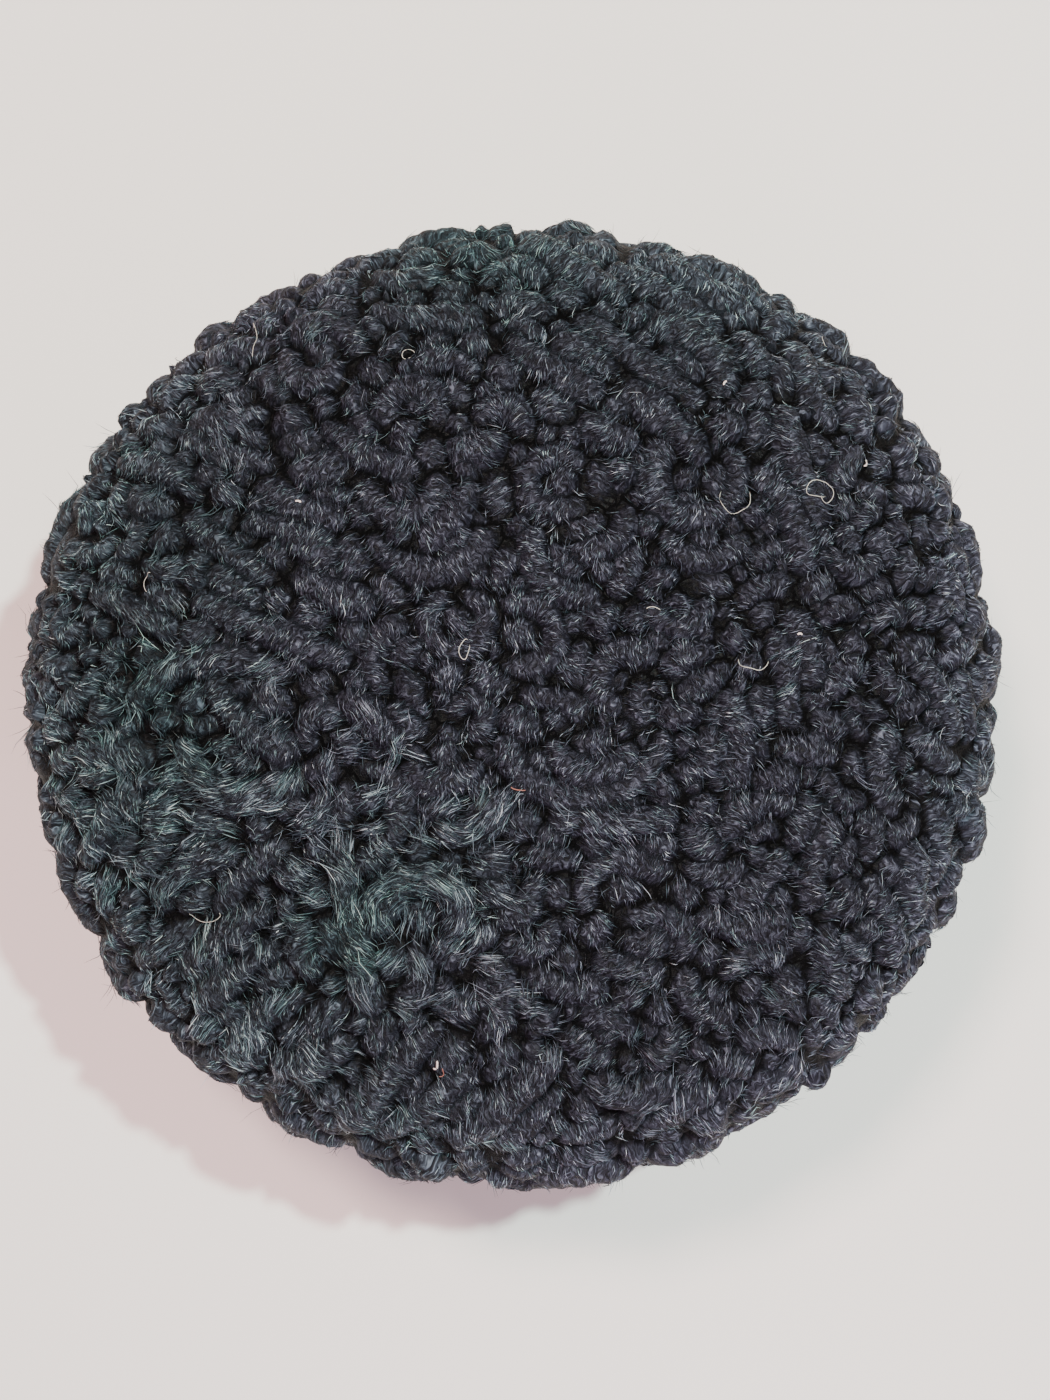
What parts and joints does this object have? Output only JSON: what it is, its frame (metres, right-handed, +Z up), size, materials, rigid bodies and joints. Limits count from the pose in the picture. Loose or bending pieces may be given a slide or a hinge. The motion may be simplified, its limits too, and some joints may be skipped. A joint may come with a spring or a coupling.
{
  "type": "karakul cap",
  "caption": "Round karakul lambskin cap with a domed crown, an upright curly side band and an open hollow for the head.",
  "frame": {"origin": "middle of the cap's box, on the plane its rim stands on", "axes": "+Z up from the rim to the crown, +X to the wearer's side at the right of the picture, +Y to the rear join at the top of the picture"},
  "size_m": [0.2054, 0.2024, 0.1072],
  "materials": {
    "karakul_fur": "black curly lamb pelt, soft sheen on tight pipe curls",
    "pelt_skin": "suede flesh side of the pelt inside the cap"
  },
  "bodies": {
    "root": {"crown": "karakul_fur", "side_band": "karakul_fur"}
  },
  "joints": []
}
